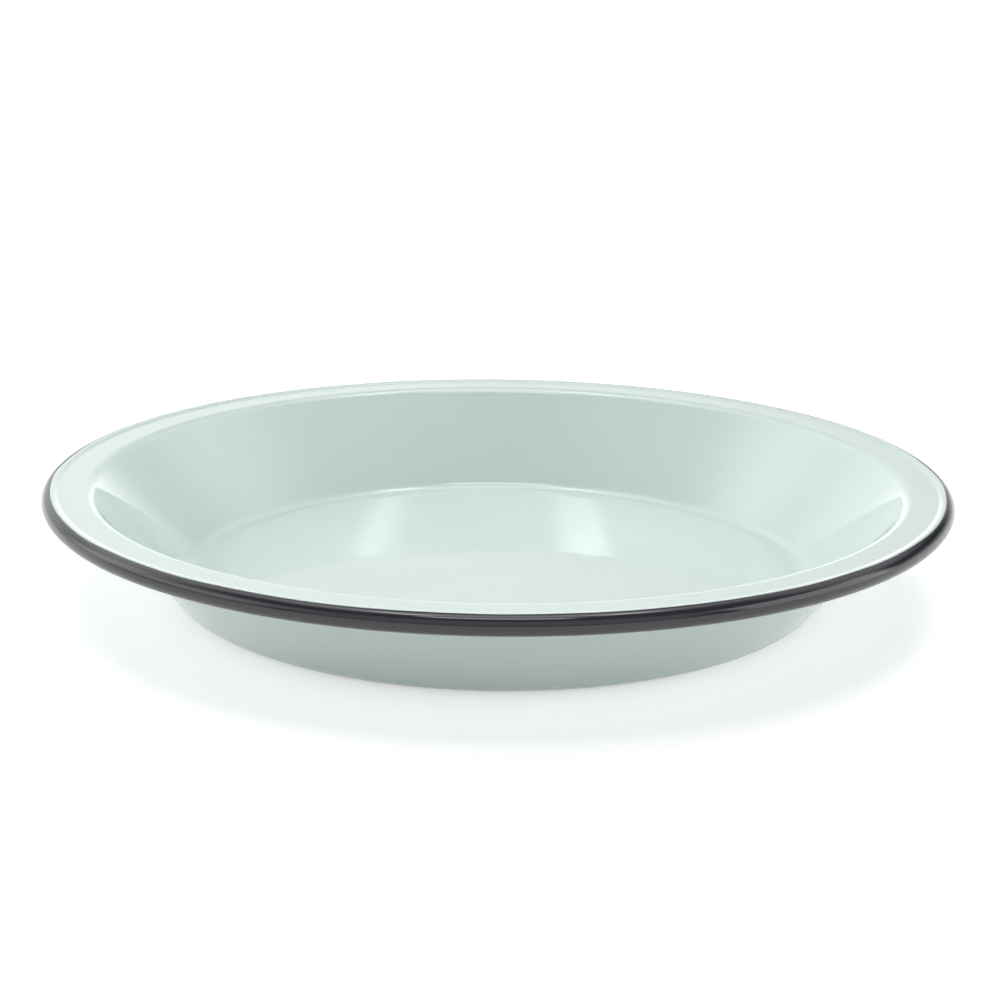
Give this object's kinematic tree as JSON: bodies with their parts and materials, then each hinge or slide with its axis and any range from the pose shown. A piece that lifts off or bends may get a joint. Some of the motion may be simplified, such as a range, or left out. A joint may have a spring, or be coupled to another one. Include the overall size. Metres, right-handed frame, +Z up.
{
  "type": "pie dish",
  "caption": "Round shallow enamelled steel pie dish with a flat base, sloping wall, narrow flange and rolled rim edged in a darker enamel.",
  "frame": {"origin": "middle of the base, on the plane that the dish stands on", "axes": "+Z up along the axis of the dish; +X and +Y are equal, and the picture looks along +Y"},
  "size_m": [0.24, 0.24, 0.0306],
  "materials": {
    "steel": "bare cold-rolled steel sheet, hidden under the enamel",
    "ground_enamel": "thin dark ground-coat enamel, hidden under the cover coats",
    "mint_enamel_inside": "glossy pale mint cover-coat enamel",
    "mint_enamel_outside": "glossy pale mint cover-coat enamel",
    "rim_enamel": "glossy dark grey edging enamel"
  },
  "bodies": {
    "root": {"steel_pan": "steel", "ground_coat": "ground_enamel", "inner_enamel": "mint_enamel_inside", "outer_enamel": "mint_enamel_outside", "rim_enamel": "rim_enamel"}
  },
  "joints": []
}
